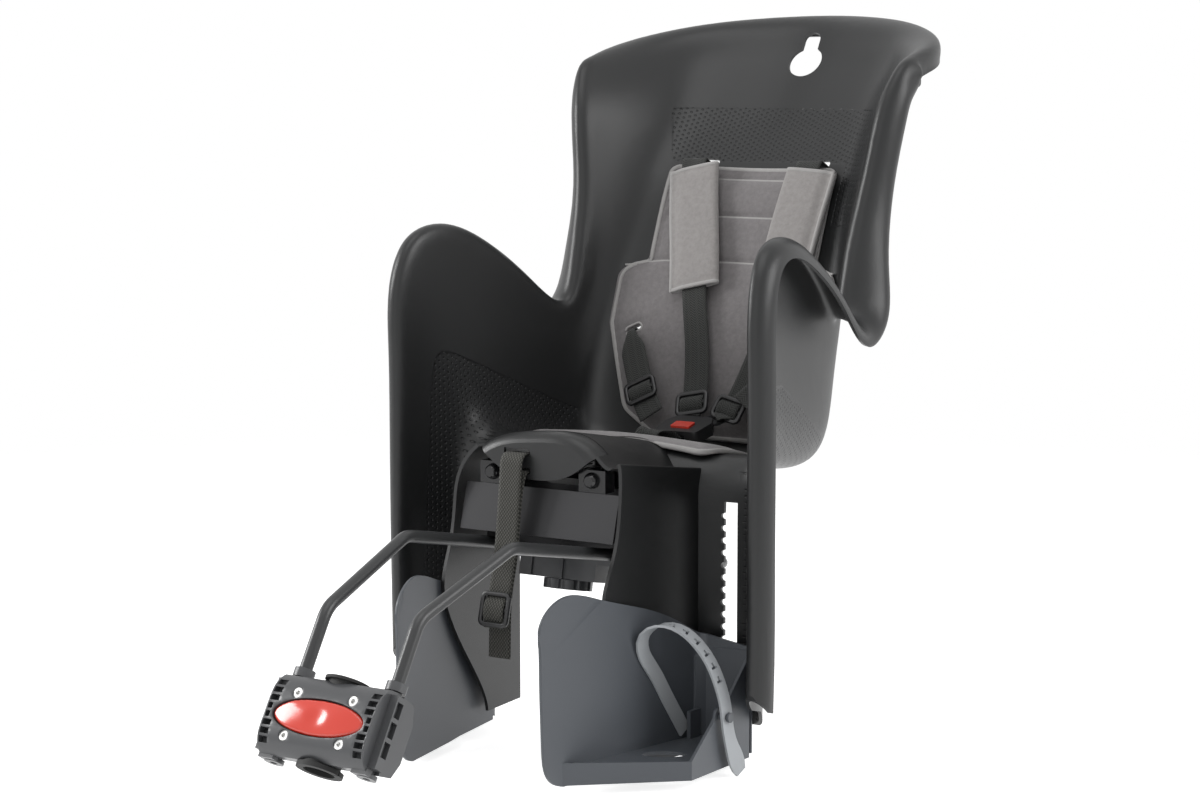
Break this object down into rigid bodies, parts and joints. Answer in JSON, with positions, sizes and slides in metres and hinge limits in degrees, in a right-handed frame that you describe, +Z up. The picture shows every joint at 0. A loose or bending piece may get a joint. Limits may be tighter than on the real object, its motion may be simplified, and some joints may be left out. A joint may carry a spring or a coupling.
{
  "type": "child bike seat",
  "caption": "Rear child seat for a bicycle: moulded bucket with leg wings, felt pads, harness and height-set footrests on a bent rod carrier with a seat tube clamp.",
  "frame": {"origin": "centre of the seat tube clamp", "axes": "+Y to the rear along the seat, +Z up, +X to the rider's left; the tube leans back with the clamp"},
  "size_m": [0.441, 0.9231, 0.7197],
  "materials": {
    "shell": "satin moulded plastic",
    "block": "satin",
    "liner": "matt",
    "steel": "zinc plated",
    "button": "gloss",
    "rods": "satin powder coat",
    "holder": "satin",
    "catch": "gloss",
    "felt": "soft felt",
    "webbing": "woven",
    "belt": "woven",
    "buckle": "satin",
    "foot": "satin",
    "foot_strap": "matt"
  },
  "bodies": {
    "clamp": {"block_front": "block", "block_rear": "block", "tube_liner_front": "liner", "tube_liner_rear": "liner", "block_screws": "steel", "block_nuts": "steel", "rod_collars": "block"},
    "carrier": {"carrier_rods": "rods"},
    "seat": {"seat_shell": "shell", "carrier_holder": "holder", "carrier_jaw": "block", "holder_screws": "steel", "holder_catches": "catch", "back_pad": "felt", "seat_pad": "felt", "buckle_body": "buckle", "crotch_strap": "webbing", "safety_strap": "belt", "safety_buckle": "buckle", "shoulder_pad_left": "felt", "shoulder_strap_left": "webbing", "waist_strap_left": "webbing", "shoulder_adjuster_left": "buckle", "waist_adjuster_left": "buckle", "buckle_tongue_left": "buckle", "shoulder_pad_right": "felt", "shoulder_strap_right": "webbing", "waist_strap_right": "webbing", "shoulder_adjuster_right": "buckle", "waist_adjuster_right": "buckle", "buckle_tongue_right": "buckle"},
    "release_button": {"release_button": "button", "button_springs": "steel"},
    "knob": {"clamp_knob": "block", "clamp_stud": "steel"},
    "buckle_release": {"buckle_button": "button"},
    "foot_left": {"footrest_left": "foot", "foot_strap_left": "foot_strap"},
    "foot_right": {"footrest_right": "foot", "foot_strap_right": "foot_strap"}
  },
  "joints": [
    {"name": "button_press", "type": "slide", "parent": "clamp", "child": "release_button", "axis": [0, 0.8536, -0.521], "range_m": [0, 0.0025], "stiffness_N_per_m": 800, "springref_m": -0.004},
    {"name": "carrier_lift", "type": "slide", "parent": "clamp", "child": "carrier", "axis": [0, 0.521, 0.8536], "range_m": [0, 0.085]},
    {"name": "seat_shift", "type": "slide", "parent": "carrier", "child": "seat", "axis": [0, 0.983, -0.1836], "range_m": [-0.03, 0.02]},
    {"name": "knob_turn", "type": "hinge", "parent": "seat", "child": "knob", "pos_m": [0, 0.36057, 0.06465], "axis": [0, 0.1836, 0.983], "continuous": true},
    {"name": "buckle_press", "type": "slide", "parent": "seat", "child": "buckle_release", "axis": [0, 0.2496, -0.9684], "range_m": [0, 0.003], "stiffness_N_per_m": 600, "springref_m": -0.004},
    {"name": "foot_left_height", "type": "slide", "parent": "seat", "child": "foot_left", "axis": [0, 0, 1], "range_m": [0, 0.1]},
    {"name": "foot_right_height", "type": "slide", "parent": "seat", "child": "foot_right", "axis": [0, 0, 1], "range_m": [0, 0.1]}
  ]
}
